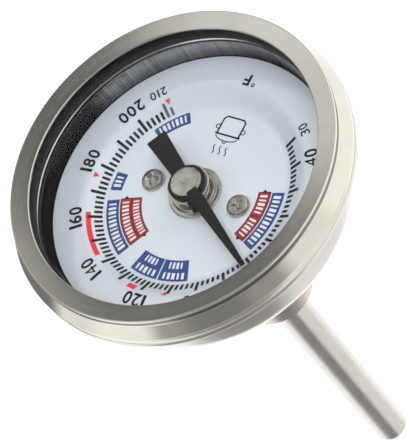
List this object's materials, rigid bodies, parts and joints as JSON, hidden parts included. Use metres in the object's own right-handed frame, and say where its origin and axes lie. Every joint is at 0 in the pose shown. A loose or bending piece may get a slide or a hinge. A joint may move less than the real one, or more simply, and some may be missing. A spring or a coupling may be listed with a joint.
{
  "type": "dial thermometer",
  "caption": "Round bimetal dial thermometer with a crimped steel case, flat window, painted pointer, rear threaded boss and a long plain stem.",
  "frame": {"origin": "on the stem axis at the hex shoulder, where the thread of the boss starts", "axes": "+Z along the stem axis out of the dial face, +Y to the top of the dial scale, +X to its right"},
  "size_m": [0.0838, 0.0838, 0.1451],
  "materials": {
    "turned_steel": "turned, satin",
    "stem_steel": "polished along its length",
    "case_steel": "drawn, satin",
    "bezel_steel": "pressed, satin with bright folds",
    "nickel": "plated, satin",
    "brass": "turned",
    "bimetal": "rolled strip",
    "seal_rubber": "matt",
    "window_glass": "clear",
    "dial_paint": "smooth off-white enamel with printed scale",
    "pointer_paint": "matt black"
  },
  "bodies": {
    "housing": {"thread_boss": "turned_steel", "case_seal_washer": "seal_rubber", "boss_locknut": "turned_steel", "stem_tube": "stem_steel", "stem_end_plug": "stem_steel", "case_cup": "case_steel", "window_gasket": "seal_rubber", "window_glass": "window_glass", "bezel_ring": "bezel_steel", "dial_plate": "dial_paint", "dial_screws": "nickel", "dial_bracket": "case_steel", "centre_bush": "nickel", "upper_bearing": "brass", "lower_guide": "brass", "coil_anchor": "turned_steel", "bimetal_coil": "bimetal"},
    "pointer_assembly": {"coil_collet": "brass", "pointer_shaft": "turned_steel", "pointer_hub": "nickel", "pointer": "pointer_paint", "pointer_cap": "nickel"}
  },
  "joints": [
    {"name": "pointer_turn", "type": "hinge", "parent": "housing", "child": "pointer_assembly", "pos_m": [0, 0, 0.0334], "axis": [0, 0, -1], "range_deg": [-78, 195]}
  ]
}
